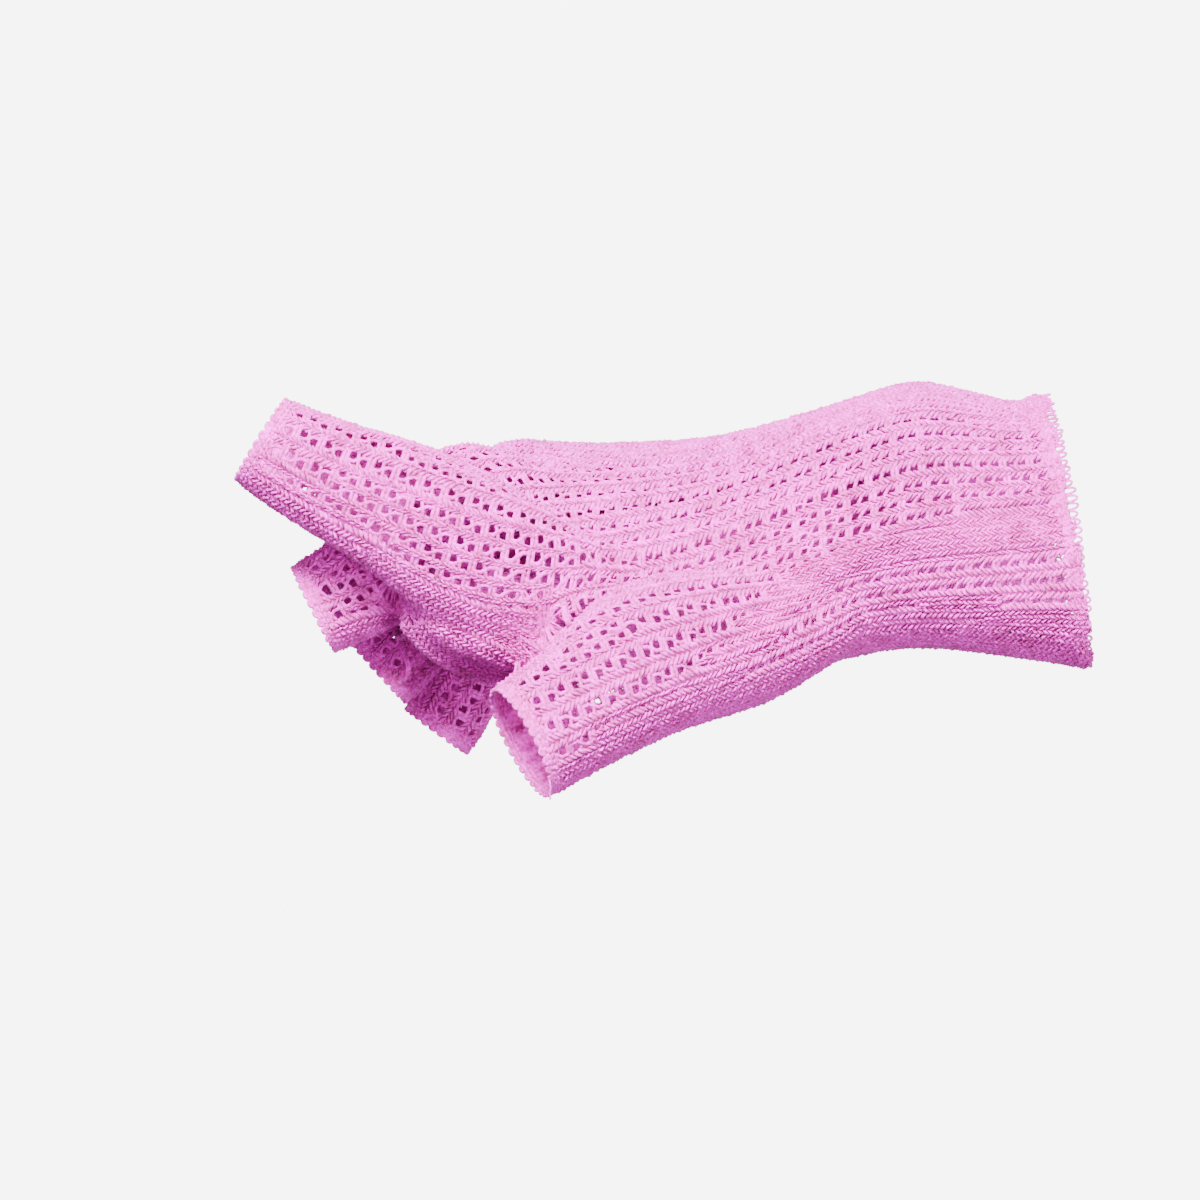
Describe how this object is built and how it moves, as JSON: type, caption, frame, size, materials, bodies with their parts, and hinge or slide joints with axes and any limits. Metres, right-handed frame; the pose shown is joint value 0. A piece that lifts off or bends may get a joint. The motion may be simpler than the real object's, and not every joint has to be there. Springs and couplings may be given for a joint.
{
  "type": "fingerless lace-knit glove",
  "caption": "Right-hand fingerless glove of fine lace knit, held in its worn form, with an open wrist, open thumb and finger stalls and bound edges.",
  "frame": {"origin": "centre of the wrist opening at the cuff edge", "axes": "+X out of the cuff towards the forearm, -X towards the fingertips, +Z from the palm to the back of the hand, -Y on the thumb side"},
  "size_m": [0.1692, 0.0948, 0.0823],
  "materials": {
    "lace_knit": "matt pink yarn in an eyelet knit",
    "edge_knit": "matt pink yarn, bound and looped edges"
  },
  "bodies": {
    "root": {"palm_shell": "lace_knit", "cuff_edge": "edge_knit", "thumb_stall": "lace_knit", "thumb_rim": "edge_knit", "index_stall": "lace_knit", "index_rim": "edge_knit", "middle_stall": "lace_knit", "middle_rim": "edge_knit", "ring_stall": "lace_knit", "ring_rim": "edge_knit", "little_stall": "lace_knit", "little_rim": "edge_knit"}
  },
  "joints": []
}
